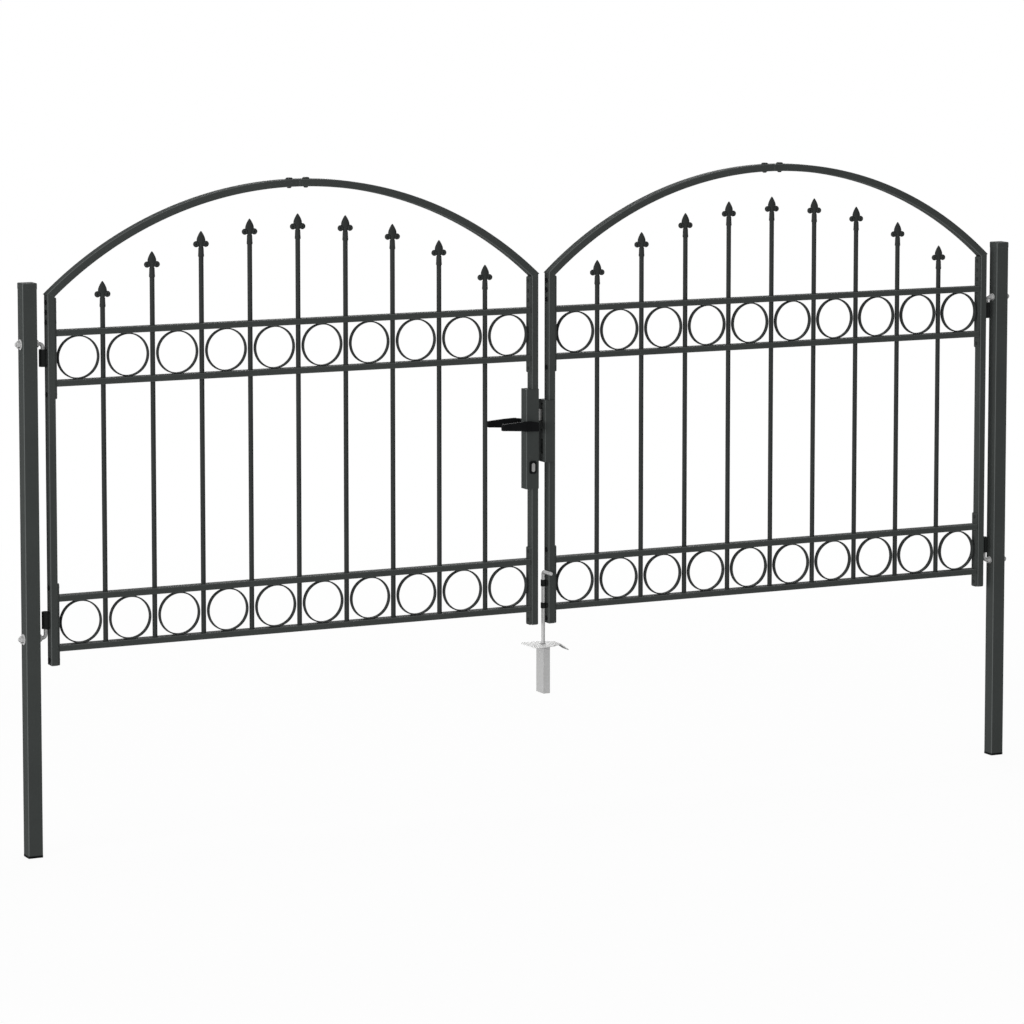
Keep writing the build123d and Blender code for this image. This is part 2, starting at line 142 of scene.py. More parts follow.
def anthraciteFinish(name, dark, light, cornerHighlightShare):
    finish, shade = newFinish(name)
    place = shade.node("ShaderNodeTexCoord", out="Object")
    cloud = noise(shade, place, *coat["cloud"])
    peel = noise(shade, place, *coat["peel"])
    grain = noise(shade, place, *coat["grain"])
    facing = shade.node("ShaderNodeNewGeometry", out="Normal")
    lying = axisOf(shade, facing, "Z").between(*coat["lyingRange"])
    dust = lying * cloud.between(*coat["dustRange"]) * coat["dustShare"]
    mottle = mixed(cloud.between(*coat["cloudRange"]), grain, coat["cloudShare"])
    colour = dust.colours(mottle.colours(dark, light), coat["dust"])
    if cornerHighlightShare:  # painted highlight along the tubes' rounded corners
        across = axisOf(shade, facing, "Y")
        corner = (across * across * (1 - across * across)).between(*coat["cornerHighlightRange"])
        colour = (corner * cornerHighlightShare).colours(colour, coat["edge"])
    bump = bumped(shade, coat["bumpStrength"], coat["bumpDepth"],
                  mixed(peel, grain, coat["peelShare"]))
    rough = coat["roughness"] + (peel - 0.5) * coat["peelRough"] + dust * coat["dustRough"]
    skinned(shade, {"Base Color": colour, "Roughness": rough, "Specular IOR Level": coat["gloss"],
                    "Normal": bump})
    return finish


# Hot-dip zinc: brighter tones on the pressed sheet paint light on its top, duller on tube, rod and
# nuts
zinc = {"sheet": {"tones": ((0.56, 0.56, 0.555, 1), (0.66, 0.66, 0.655, 1)), "metal": 0.15,
                  "gloss": 0.05, "roughness": 0.55},
        "tube": {"tones": ((0.335, 0.335, 0.333, 1), (0.40, 0.40, 0.398, 1)), "metal": 0.10,
                 "gloss": 0.20, "roughness": 0.45},
        # under is the colour of the painted shade on faces that point down
        "under": (0.17, 0.17, 0.169, 1), "underShadeRange": (-0.30, -0.75),
        "spangleScale": 170.0, "spangleShare": 0.35, "spangleHeight": 0.2, "spangleRough": 0.1,
        "cloud": (28.0, 4.0), "grain": (900.0, 2.0), "grainHeight": 0.5, "bumpStrength": 0.4,
        "bumpDepth": 0.00008, "threadPitch": 0.0015, "threadDepth": 0.0005}


def galvanisedFinish(name, kind, threaded=False):
    finish, shade = newFinish(name)
    place = shade.node("ShaderNodeTexCoord", out="Object")
    cell = shade.node("ShaderNodeTexVoronoi", None,
                      {"Vector": place, "Scale": zinc["spangleScale"]}, out="Color")
    spangle = shade.node("ShaderNodeSeparateColor", None, {0: cell})
    cloud = noise(shade, place, *zinc["cloud"])
    grain = noise(shade, place, *zinc["grain"])
    colour = mixed(spangle, cloud, zinc["spangleShare"]).colours(*kind["tones"])
    upward = axisOf(shade, shade.node("ShaderNodeNewGeometry", out="Normal"), "Z")
    below = upward.between(*zinc["underShadeRange"])
    colour = below.colours(colour, zinc["under"])  # painted shade: undersides darker
    height = grain * zinc["grainHeight"] + spangle * zinc["spangleHeight"]
    depth = zinc["bumpDepth"]
    if threaded:
        turns = axisOf(shade, place, "X") * (2 * math.pi / zinc["threadPitch"])
        height, depth = shade.maths("SINE", turns), zinc["threadDepth"]
    bump = bumped(shade, zinc["bumpStrength"], depth, height)
    skinned(shade, {"Base Color": colour, "Metallic": kind["metal"], "Normal": bump,
                    "Specular IOR Level": kind["gloss"],
                    "Roughness": kind["roughness"] + spangle * zinc["spangleRough"]})
    return finish


# Moulded black plastic with a fine leathery grain
plastic = {"dark": (0.0045, 0.0047, 0.0050, 1), "light": (0.0075, 0.0078, 0.0082, 1),
           "grain": (1100.0, 3.0), "cloud": (40.0, 3.0), "bumpStrength": 0.3, "bumpDepth": 0.0001,
           "gloss": 0.012, "roughness": 0.60, "cloudRough": 0.16}


def plasticFinish():
    finish, shade = newFinish("blackPlastic")
    place = shade.node("ShaderNodeTexCoord", out="Object")
    grain = noise(shade, place, *plastic["grain"])
    cloud = noise(shade, place, *plastic["cloud"])
    bump = bumped(shade, plastic["bumpStrength"], plastic["bumpDepth"], grain)
    skinned(shade, {"Base Color": cloud.colours(plastic["dark"], plastic["light"]),
                    "Roughness": plastic["roughness"] + (cloud - 0.5) * plastic["cloudRough"],
                    "Specular IOR Level": plastic["gloss"], "Normal": bump})
    return finish


# Satin nickel, brushed along its height
nickel = {"dark": (0.22, 0.218, 0.215, 1), "light": (0.31, 0.308, 0.303, 1), "cloud": (60.0, 2.0),
          "brush": (1.0, 3.0), "brushStretch": (1600, 1600, 60), "bumpStrength": 0.15,
          "bumpDepth": 0.00005, "roughness": 0.24, "brushRough": 0.16}


def nickelFinish():
    finish, shade = newFinish("satinNickel")
    place = shade.node("ShaderNodeTexCoord", out="Object")
    drawn = shade.node("ShaderNodeMapping", None,
                       {"Vector": place, "Scale": nickel["brushStretch"]})
    brush = noise(shade, drawn, *nickel["brush"])
    cloud = noise(shade, place, *nickel["cloud"])
    bump = bumped(shade, nickel["bumpStrength"], nickel["bumpDepth"], brush)
    skinned(shade, {"Base Color": cloud.colours(nickel["dark"], nickel["light"]), "Metallic": 1.0,
                    "Roughness": nickel["roughness"] + brush * nickel["brushRough"],
                    "Normal": bump})
    return finish


coatFinish = anthraciteFinish("anthraciteCoat", *coat["frame"])
# a darker copy of the coat: painted shade on bars, rings, finials and coated nuts
shadedSlimFinish = anthraciteFinish("anthraciteSlimShaded", *coat["slimShaded"])
socketFinish = anthraciteFinish("anthraciteHinge", *coat["hinge"])
# a brighter copy of the zinc for the ground plate: painted light on its up-facing top
litSheetFinish = galvanisedFinish("zincSheetLit", zinc["sheet"])
zincFinish = galvanisedFinish("galvanisedSteel", zinc["tube"])
threadFinish = galvanisedFinish("threadedSteel", zinc["tube"], True)
blackFinish = plasticFinish()
brightFinish = nickelFinish()
slotOf = {coatFinish: "anthracite_coat", shadedSlimFinish: "anthracite_coat",
          socketFinish: "anthracite_coat", litSheetFinish: "galvanised_steel",
          zincFinish: "galvanised_steel", threadFinish: "galvanised_steel",
          blackFinish: "black_plastic", brightFinish: "nickel_plate"}
print("stage: finishes made")


# Handling: select one piece, put its place into its mesh, pick parts of it by place or normal
alongX, alongY, alongZ = 0, 1, 2
handling = {"parallel": 0.99, "facing": 0.9, "merge": 0.000001, "atTip": 0.0002}


def only(piece):
    bpy.ops.object.select_all(action="DESELECT")
    piece.select_set(True)
    bpy.context.view_layer.objects.active = piece


def settled(name):
    piece = bpy.context.active_object
    piece.name = name
    piece.data.name = name
    only(piece)
    bpy.ops.object.transform_apply(location=True, rotation=True, scale=True)
    return piece


def editing(piece):
    only(piece)
    bpy.ops.object.mode_set(mode="EDIT")
    bpy.ops.mesh.select_all(action="SELECT")


def pick(piece, kind, test):
    bpy.ops.mesh.select_mode(type=kind)
    bpy.ops.mesh.select_all(action="DESELECT")
    mesh = bmesh.from_edit_mesh(piece.data)
    parts = {"EDGE": mesh.edges, "FACE": mesh.faces}[kind]
    for part in parts:
        if test(part):
            part.select_set(True)
    mesh.select_flush_mode()
    bmesh.update_edit_mesh(piece.data)


def edited():
    bpy.ops.object.mode_set(mode="OBJECT")


def outward():
    bpy.ops.mesh.select_all(action="SELECT")
    bpy.ops.mesh.normals_make_consistent(inside=False)


def block(name, low, high):
    low, high = Vector(low), Vector(high)
    bpy.ops.object.select_all(action="DESELECT")
    bpy.ops.mesh.primitive_cube_add(size=1, location=(low + high) / 2, scale=high - low)
    return settled(name)


def stock(name, foot, run, radius, sides=32, turn=0.0, topRadius=None):  # round or six-sided bar
    run = Vector(run)
    top = radius if topRadius is None else topRadius
    bpy.ops.object.select_all(action="DESELECT")
    bpy.ops.mesh.primitive_cone_add(vertices=sides, radius1=radius, radius2=top, depth=run.length,
                                    location=(0, 0, run.length / 2), rotation=(0, 0, turn))
    piece = settled(name)
    piece.rotation_euler = Vector((0, 0, 1)).rotation_difference(run).to_euler()
    piece.location = foot
    return settled(name)


def runsAlong(edge, axis):
    run = (edge.verts[0].co - edge.verts[1].co).normalized()
    return abs(run[axis]) > handling["parallel"]


def cornered(piece, axis, width, segments=3):  # rounds the long edges along one axis
    editing(piece)
    pick(piece, "EDGE", lambda edge: runsAlong(edge, axis))
    bpy.ops.mesh.bevel(offset=width, segments=segments, affect="EDGES")
    edited()
    return piece


def cut(piece, point, normal):  # takes away what the normal points at
    editing(piece)
    bpy.ops.mesh.bisect(plane_co=point, plane_no=normal, use_fill=True, clear_outer=True)
    outward()
    edited()
    return piece


def changed(piece, kind, settings):
    only(piece)
    change = piece.modifiers.new(kind.lower(), kind)
    for key, value in settings.items():
        setattr(change, key, value)
    bpy.ops.object.modifier_apply(modifier=change.name)
    return piece


def eased(piece, width, segments=2, angle=32):
    return changed(piece, "BEVEL", {"width": width, "segments": segments, "limit_method": "ANGLE",
                                    "angle_limit": math.radians(angle)})


def copied(piece, name, shift=(0, 0, 0)):
    only(piece)
    bpy.ops.object.duplicate()
    bpy.ops.transform.translate(value=shift)
    return settled(name)


def mirrored(piece, name, about, axis=alongX):
    twin = copied(piece, name)
    flip, centre = [1, 1, 1], [0, 0, 0]
    flip[axis], centre[axis] = -1, about
    editing(twin)
    bpy.ops.transform.resize(value=flip, center_override=centre)
    outward()
    edited()
    return twin


def joined(name, pieces):
    bpy.ops.object.select_all(action="DESELECT")
    for piece in pieces:
        piece.select_set(True)
    bpy.context.view_layer.objects.active = pieces[0]
    if len(pieces) > 1:
        bpy.ops.object.join()
    return settled(name)


shading = {"smoothAngle": 40, "faceWeight": 80}


def placed(piece, body, finish, nodes=()):  # smooths, paints, and hands the piece to its body
    only(piece)
    bpy.ops.object.shade_smooth_by_angle(angle=math.radians(shading["smoothAngle"]))
    changed(piece, "WEIGHTED_NORMAL", {"keep_sharp": True, "weight": shading["faceWeight"]})
    piece.data.materials.clear()
    piece.data.materials.append(finish)
    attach(piece, body)
    if nodes:
        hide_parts(*nodes)
    return piece


def bothLeaves(piece, stem, finish, nodes=()):
    twin = mirrored(piece, "right" + stem, gateMiddle)
    piece.name = piece.data.name = "left" + stem
    placed(piece, "left_leaf", finish, ["left_" + node for node in nodes])
    placed(twin, "right_leaf", finish, ["right_" + node for node in nodes])


# Lines of the gate, read from the CAD nodes
postLow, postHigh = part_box("left_post")
gateMiddle = (postLow.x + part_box("right_post")[1].x) / 2
hingeLow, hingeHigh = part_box("left_hinge_stile")
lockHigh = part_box("left_lock_stile")[1]
caseLow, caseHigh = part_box("lock_case")
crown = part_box("left_arch_hinge_half")[1].z
leafMiddle = (hingeLow.x + lockHigh.x) / 2
stileWidth = hingeHigh.x - hingeLow.x
shoulder = hingeHigh.z
halfSpan = leafMiddle - hingeLow.x
archRadius = (halfSpan ** 2 + (crown - shoulder) ** 2) / (2 * (crown - shoulder))
archCentre = crown - archRadius
innerShoulder = archCentre + math.sqrt((archRadius - stileWidth) ** 2
                                       - (halfSpan - stileWidth) ** 2)
mitre = Vector((shoulder - innerShoulder, 0, stileWidth))
mitrePoint = Vector((hingeLow.x, 0, shoulder))
archHalfAngle = math.asin(halfSpan / archRadius)
upX, upY, upZ = Vector((1, 0, 0)), Vector((0, 1, 0)), Vector((0, 0, 1))


# Posts: square tube with rolled corners, a pillowed cap that grips over the top
post = {"corner": 0.0034, "capSkirt": 0.016, "capProud": 0.0006, "capEdge": 0.0024,
        "capRim": 0.0004}


def postTubes():
    apart = (2 * (gateMiddle - (postLow.x + postHigh.x) / 2), 0, 0)
    left = cornered(block("leftPost", postLow, postHigh), alongZ, post["corner"], segments=4)
    right = copied(left, "rightPost", apart)
    placed(left, "posts", coatFinish, ["left_post"])
    placed(right, "posts", coatFinish, ["right_post"])
    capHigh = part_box("post_caps")[1].z
    proud = post["capProud"]
    cap = block("postCap", (postLow.x - proud, postLow.y - proud, capHigh - post["capSkirt"]),
                (postHigh.x + proud, postHigh.y + proud, capHigh))
    cornered(cap, alongZ, post["corner"] + proud, segments=4)
    editing(cap)
    pick(cap, "FACE", lambda face: face.normal.z > handling["facing"])
    bpy.ops.mesh.bevel(offset=post["capEdge"], segments=4, affect="EDGES")
    edited()
    eased(cap, post["capRim"], segments=1, angle=50)
    twin = copied(cap, "postCapTwin", apart)
    placed(joined("postCaps", [cap, twin]), "posts", coatFinish, ["post_caps"])


postTubes()
print("stage: posts")


# Stiles: rectangular tube cut to the mitre at the shoulder
tube = {"corner": 0.0026, "seam": 0.0006}


def stiles():
    stile = cornered(block("hingeStile", hingeLow, hingeHigh), alongZ, tube["corner"])
    cut(stile, mitrePoint, mitre)
    eased(stile, tube["seam"], segments=1)
    whole = mirrored(stile, "lockStile", leafMiddle)
    below = cut(copied(whole, "lockStileBelow"), (0, 0, caseLow.z), upZ)  # lock case in between
    above = cut(copied(whole, "lockStileAbove"), (0, 0, caseHigh.z), -upZ)
    rightLock = mirrored(whole, "rightLockStile", gateMiddle)
    bpy.data.objects.remove(whole)
    bothLeaves(stile, "HingeStile", coatFinish, ["hinge_stile"])
    placed(joined("leftLockStile", [below, above]), "left_leaf", coatFinish, ["left_lock_stile"])
    placed(rightLock, "right_leaf", coatFinish, ["right_lock_stile"])


stiles()


# Arch: the same tube turned about the arch centre, in two halves that meet at the crown
arch = {"steps": 44, "overrun": 0.04}


def archHalves():
    depth = hingeHigh.y - hingeLow.y
    bpy.ops.object.select_all(action="DESELECT")
    bpy.ops.mesh.primitive_plane_add(size=1, location=(leafMiddle, 0, crown - stileWidth / 2),
                                     rotation=(0, math.pi / 2, 0))
    half = bpy.context.active_object
    half.scale = (stileWidth, depth, 1)
    half = settled("archHalf")
    editing(half)
    bpy.ops.mesh.bevel(offset=tube["corner"], segments=3, affect="VERTICES")
    bpy.ops.mesh.select_all(action="SELECT")
    bpy.ops.mesh.delete(type="ONLY_FACE")
    bpy.ops.mesh.select_all(action="SELECT")
    bpy.ops.mesh.spin(steps=arch["steps"], angle=archHalfAngle + arch["overrun"],
                      center=(leafMiddle, 0, archCentre), axis=upY)
    bpy.ops.mesh.select_all(action="SELECT")
    bpy.ops.mesh.remove_doubles(threshold=handling["merge"])
    bpy.ops.mesh.bisect(plane_co=mitrePoint, plane_no=-mitre, use_fill=True, clear_outer=True)
    bpy.ops.mesh.select_all(action="SELECT")
    bpy.ops.mesh.fill_holes(sides=0)
    outward()
    edited()
    eased(half, tube["seam"], segments=1)
    lockHalf = mirrored(half, "archLock", leafMiddle)
    bothLeaves(lockHalf, "ArchLockHalf", coatFinish, ["arch_lock_half"])
    bothLeaves(half, "ArchHingeHalf", coatFinish, ["arch_hinge_half"])


archHalves()
print("stage: stiles and arches")

# Four rails in two pairs, each pair with its band of rings between
railTube = {"corner": 0.0022}
plateLow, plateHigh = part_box("left_end_plates")
railLow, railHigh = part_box("left_rails")
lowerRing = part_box("left_lower_rings")
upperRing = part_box("left_upper_rings")
railHeight = railHigh.z - upperRing[1].z
railFeet = [railLow.z, lowerRing[1].z, upperRing[0].z - railHeight, railHigh.z - railHeight]


def rails():
    made = []
    for foot in railFeet:
        rail = block("rail", (railLow.x, railLow.y, foot),
                     (railHigh.x, railHigh.y, foot + railHeight))
        made.append(cornered(rail, alongX, railTube["corner"]))
    bothLeaves(joined("rails", made), "Rails", coatFinish, ["rails"])


rails()


# Plates at the stiles: the lower ones start at the stile's foot, the upper ones near the shoulder
plate = {"overhang": 0.032, "thick": 0.0043, "corner": 0.004, "edge": 0.0006}
lowerPlate = (plateLow.z, railFeet[1] + railHeight + plate["overhang"])
upperPlate = (railFeet[2] - plate["overhang"], plateHigh.z)


def endPlates():
    made = []
    for foot, top in (lowerPlate, upperPlate):
        for start in (plateLow.x, plateHigh.x - plate["thick"]):
            strip = block("plate", (start, plateLow.y, foot),
                          (start + plate["thick"], plateHigh.y, top))
            made.append(eased(cornered(strip, alongX, plate["corner"], segments=4), plate["edge"]))
    bothLeaves(joined("plates", made), "EndPlates", coatFinish, ["end_plates"])


endPlates()


# Nine bars from the bottom rail up into the finials' sleeves, whose tips follow the arch
bar = {"count": 9, "radius": 0.0065, "rim": 0.0008, "sides": 32, "intoSleeve": 0.018}
opening = (railHigh.x - railLow.x - bar["count"] * 2 * bar["radius"]) / (bar["count"] + 1)
pitch = opening + 2 * bar["radius"]
finial = {"tipDrop": 0.0917, "height": 0.068, "sleeve": 0.024}


def archAt(x):
    return archCentre + math.sqrt(archRadius ** 2 - (x - leafMiddle) ** 2)


barPlaces = [railLow.x - bar["radius"] + pitch * (count + 1) for count in range(bar["count"])]
finialFeet = [archAt(x) - finial["tipDrop"] - finial["height"] for x in barPlaces]


def bars():
    made = []
    for x, foot in zip(barPlaces, finialFeet):
        start = railLow.z + railHeight
        rod = stock("bar", (x, 0, start), upZ * (foot + bar["intoSleeve"] - start), bar["radius"],
                    bar["sides"])
        made.append(eased(rod, bar["rim"], angle=60))
    bothLeaves(joined("bars", made), "Bars", shadedSlimFinish, ["bars"])


bars()

# Finial: a stepped sleeve, a cast spear head drawn up from the neck, and two curled lobes
head = {"steps": [(0.0275, 0.0066, 0.0060), (0.0315, 0.0078, 0.0052), (0.0360, 0.0104, 0.0048),
                  (0.0410, 0.0126, 0.0046), (0.0460, 0.0126, 0.0045), (0.0510, 0.0110, 0.0042),
                  (0.0565, 0.0084, 0.0037), (0.0620, 0.0052, 0.0028), (0.0660, 0.0024, 0.0016),
                  (0.0678, 0.0006, 0.0006)],
        "neck": 0.0066, "lobeReach": 0.0135, "lobeHeight": 0.0334, "lobeRing": 0.0046,
        "lobeThick": 0.0038, "lobeDepth": 1.35, "lobeWeb": 0.0015, "webEdge": 0.0004,
        "sleeveRadius": 0.0079, "stepHeight": 0.007, "stepFoot": 0.0076, "stepTop": 0.0070,
        "sleeveEdge": 0.0011, "overlap": 0.001, "sleeveSides": 28, "bladeSides": 20,
        "lobeSides": 24, "lobeSteps": 12, "webSides": 20}


def spearFinial():
    lower = stock("sleeveLower", (0, 0, 0), upZ * head["stepHeight"], head["sleeveRadius"],
                  head["sleeveSides"])
    upperRun = finial["sleeve"] - head["stepHeight"] + 1.5 * head["overlap"]
    upper = stock("sleeveUpper", (0, 0, head["stepHeight"] - head["overlap"]), upZ * upperRun,
                  head["stepFoot"], head["sleeveSides"], topRadius=head["stepTop"])
    for part in (lower, upper):
        eased(part, head["sleeveEdge"], segments=3, angle=60)
    bpy.ops.object.select_all(action="DESELECT")
    bpy.ops.mesh.primitive_circle_add(vertices=head["bladeSides"], radius=head["neck"],
                                      fill_type="NGON",
                                      location=(0, 0, finial["sleeve"] - head["overlap"]))
    blade = settled("blade")
    editing(blade)
    rise, wide, deep = finial["sleeve"] - head["overlap"], head["neck"], head["neck"]
    for height, nextWide, nextDeep in head["steps"]:
        bpy.ops.mesh.extrude_region_move(TRANSFORM_OT_translate={"value": (0, 0, height - rise)})
        bpy.ops.transform.resize(value=(nextWide / wide, nextDeep / deep, 1),
                                 center_override=(0, 0, height))
        rise, wide, deep = height, nextWide, nextDeep
    outward()
    edited()
    changed(blade, "SUBSURF", {"levels": 1, "render_levels": 1})
    lobes = []
    for side in (-1, 1):
        bpy.ops.object.select_all(action="DESELECT")
        bpy.ops.mesh.primitive_torus_add(
            major_segments=head["lobeSides"], minor_segments=head["lobeSteps"],
            major_radius=head["lobeRing"], minor_radius=head["lobeThick"],
            rotation=(math.pi / 2, 0, 0),
            location=(side * head["lobeReach"], 0, head["lobeHeight"]))
        lobe = settled("lobe")
        editing(lobe)
        bpy.ops.transform.resize(value=(1, head["lobeDepth"], 1), center_override=(0, 0, 0))
        edited()
        web = stock("web", (side * head["lobeReach"], -head["lobeWeb"], head["lobeHeight"]),
                    upY * (2 * head["lobeWeb"]), head["lobeRing"], head["webSides"])
        lobes += [lobe, eased(web, head["webEdge"], segments=1, angle=60)]
    return joined("finial", [lower, upper, blade] + lobes)


def finials():
    first = spearFinial()
    made = [copied(first, "finialCopy", (x, 0, foot)) for x, foot in zip(barPlaces, finialFeet)]
    bpy.data.objects.remove(first)
    bothLeaves(joined("finials", made), "Finials", shadedSlimFinish, ["finials"])


finials()

# Rings: hoops of flat strip that touch the rails above and below
ring = {"radius": (lowerRing[1].z - lowerRing[0].z) / 2, "strip": 0.0035, "depth": 0.013,
        "sides": 64, "edge": 0.0007}


def bandOfRings(name, height):
    bpy.ops.object.select_all(action="DESELECT")
    bpy.ops.mesh.primitive_cylinder_add(vertices=ring["sides"], radius=ring["radius"],
                                        depth=ring["depth"], end_fill_type="NOTHING",
                                        rotation=(math.pi / 2, 0, 0))
    hoop = settled("hoop")
    changed(hoop, "SOLIDIFY", {"thickness": ring["strip"], "offset": -1})
    eased(hoop, ring["edge"], angle=50)
    made = [copied(hoop, "hoopCopy", (railLow.x + opening / 2 + pitch * count, 0, height))
            for count in range(bar["count"] + 1)]
    bpy.data.objects.remove(hoop)
    return joined(name, made)


for bandName, bandBox in (("LowerRings", lowerRing), ("UpperRings", upperRing)):
    band = bandOfRings("band" + bandName, (bandBox[0].z + bandBox[1].z) / 2)
    bothLeaves(band, bandName, shadedSlimFinish, [bandName[:5].lower() + "_rings"])
print("stage: rails, bars, finials and rings")

# Hinges: threaded pins bent to hang the leaf, their nuts and washers, bored sockets on the stiles
hinge = {"pinRadius": 0.005, "pinSides": 24, "pinEnd": 0.0008, "reach": 0.040, "bend": 0.010,
         "steps": 10, "socket": 0.045, "socketRadius": 0.010, "bore": 0.0054, "tubeEdge": 0.0006,
         "nutFlats": 0.0085, "nutEdge": 0.0007, "outerNut": 0.008, "innerNut": 0.0062,
         "washerRadius": 0.0140, "innerWasher": 0.0100, "washerThick": 0.0018, "washerEdge": 0.0005,
         "weldReach": 0.0085, "weldSide": 0.0068, "weldInset": 0.004, "weldRadius": 0.0026,
         "weldEnd": 0.0012, "weldSides": 10}
pinLow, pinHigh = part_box("left_pintles")
socketLow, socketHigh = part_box("left_hinge_sockets")
hingeX = (socketLow.x + min(socketHigh.x, socketLow.x + 2 * hinge["socketRadius"])) / 2
pins = [{"height": pinHigh.z - hinge["pinRadius"], "end": socketHigh.z - hinge["reach"],
         "socket": (socketHigh.z - hinge["socket"], socketHigh.z)},
        {"height": pinLow.z + hinge["pinRadius"], "end": socketLow.z + hinge["reach"],
         "socket": (socketLow.z, socketLow.z + hinge["socket"])}]


def bentPin(pin):
    bpy.ops.object.select_all(action="DESELECT")
    bpy.ops.mesh.primitive_circle_add(vertices=hinge["pinSides"], radius=hinge["pinRadius"],
                                      fill_type="NGON", location=(pinLow.x, 0, pin["height"]),
                                      rotation=(0, math.pi / 2, 0))
    piece = settled("pin")
    down = -1 if pin["end"] < pin["height"] else 1
    bendStart = hingeX - hinge["bend"]
    editing(piece)
    bpy.ops.mesh.extrude_region_move(TRANSFORM_OT_translate={"value": (bendStart - pinLow.x, 0, 0)})
    bpy.ops.mesh.spin(steps=hinge["steps"], angle=down * math.pi / 2, axis=upY,
                      center=(bendStart, 0, pin["height"] + down * hinge["bend"]))
    bpy.ops.mesh.extrude_region_move(TRANSFORM_OT_translate={
        "value": (0, 0, pin["end"] - pin["height"] - down * hinge["bend"])})
    outward()
    edited()
    return eased(piece, hinge["pinEnd"], angle=60)


def hexNut(foot, run, flats):
    nut = stock("nut", foot, run, flats / math.cos(math.pi / 6), 6, math.pi / 6)
    return eased(nut, hinge["nutEdge"], angle=50)


def washer(foot, run, radius):
    return eased(stock("washer", foot, run, radius), hinge["washerEdge"], angle=60)


def boredTube(name, foot, height, radius, bore):
    piece = stock(name, foot, upZ * height, radius)
    editing(piece)
    pick(piece, "FACE", lambda face: abs(face.normal.z) > handling["facing"])
    bpy.ops.mesh.inset(thickness=radius - bore, depth=0)
    bpy.ops.mesh.bridge_edge_loops()
    outward()
    edited()
    return eased(piece, hinge["tubeEdge"], angle=60)


def hinges():
    left, fixings, sockets = [], [], []
    for pin in pins:
        left.append(bentPin(pin))
        outer, inner = Vector((postLow.x, 0, pin["height"])), Vector((postHigh.x, 0, pin["height"]))
        thick = hinge["washerThick"]
        fixings += [washer(outer, -upX * thick, hinge["washerRadius"]),
                    hexNut(outer - upX * thick, -upX * hinge["outerNut"], hinge["nutFlats"]),
                    washer(inner, upX * thick, hinge["innerWasher"]),
                    hexNut(inner + upX * thick, upX * hinge["innerNut"], hinge["nutFlats"])]
        foot, top = pin["socket"]
        sockets.append(boredTube("socket", (hingeX, 0, foot), top - foot, hinge["socketRadius"],
                                 hinge["bore"]))
        for side in (-1, 1):  # weld runs where the socket meets the stile
            bead = stock("weld", (hingeX + hinge["weldReach"], side * hinge["weldSide"],
                                  foot + hinge["weldInset"]),
                         upZ * (top - foot - 2 * hinge["weldInset"]), hinge["weldRadius"],
                         hinge["weldSides"])
            sockets.append(eased(bead, hinge["weldEnd"], angle=50))
    pintles = joined("leftPintles", left)
    nuts = joined("leftHingeNuts", fixings)
    twin = mirrored(pintles, "rightPintles", gateMiddle)
    nutTwin = mirrored(nuts, "rightHingeNuts", gateMiddle)
    placed(pintles, "posts", threadFinish, ["left_pintles"])
    placed(twin, "posts", threadFinish, ["right_pintles"])
    placed(nuts, "posts", zincFinish)
    placed(nutTwin, "posts", zincFinish)
    bothLeaves(joined("sockets", sockets), "HingeSockets", socketFinish, ["hinge_sockets"])


hinges()
print("stage: hinges")

# Bolts: dome heads on the stiles' outer faces, dome nuts inside, two bolts through each crown
fixing = {"footInset": 0.014, "railInset": 0.0114, "topInsets": (0.0645, 0.0385, 0.0125),
          "headRadius": 0.0070, "headHeight": 0.0030, "nutRadius": 0.0048, "nutHeight": 0.004,
          "crownReach": 0.024, "crownRadius": 0.0095, "crownHeight": 0.0046, "crownNut": 0.0063,
          "crownNutHeight": 0.0046, "crownSunk": 0.0006, "dome": 0.72, "sides": 20}
boltHeights = [lowerPlate[0] + fixing["footInset"], lowerPlate[1] - fixing["railInset"],
               upperPlate[0] + fixing["railInset"]]
boltHeights += [upperPlate[1] - inset for inset in fixing["topInsets"]]


def domeHead(foot, run, radius):
    run = Vector(run)
    piece = stock("dome", foot, run, radius, fixing["sides"])
    tip = Vector(foot) + run
    editing(piece)
    pick(piece, "FACE", lambda face: len(face.verts) > 4
         and (face.calc_center_median() - tip).length < handling["atTip"])
    bpy.ops.mesh.bevel(offset=min(radius, run.length) * fixing["dome"], segments=4, affect="EDGES")
    edited()
    return piece


def bolts():
    heads, nuts = [], []
    for height in boltHeights:
        for face, inside, way in ((hingeLow.x, plateLow.x + plate["thick"], -1),
                                  (lockHigh.x, plateHigh.x - plate["thick"], 1)):
            heads.append(domeHead((face, 0, height), upX * (way * fixing["headHeight"]),
                                  fixing["headRadius"]))
            nuts.append(domeHead((inside, 0, height), upX * (-way * fixing["nutHeight"]),
                                 fixing["nutRadius"]))
    for side in (-1, 1):
        x = leafMiddle + side * fixing["crownReach"]
        top = archAt(x)
        under = top - stileWidth + fixing["crownSunk"]
        nuts += [domeHead((x, 0, top - fixing["crownSunk"]), upZ * fixing["crownHeight"],
                          fixing["crownRadius"]),
                 domeHead((x, 0, under), -upZ * fixing["crownNutHeight"], fixing["crownNut"])]
    bothLeaves(joined("plateBolts", heads), "PlateBolts", blackFinish)
    bothLeaves(joined("coatedBolts", nuts), "CoatedBolts", shadedSlimFinish)


bolts()

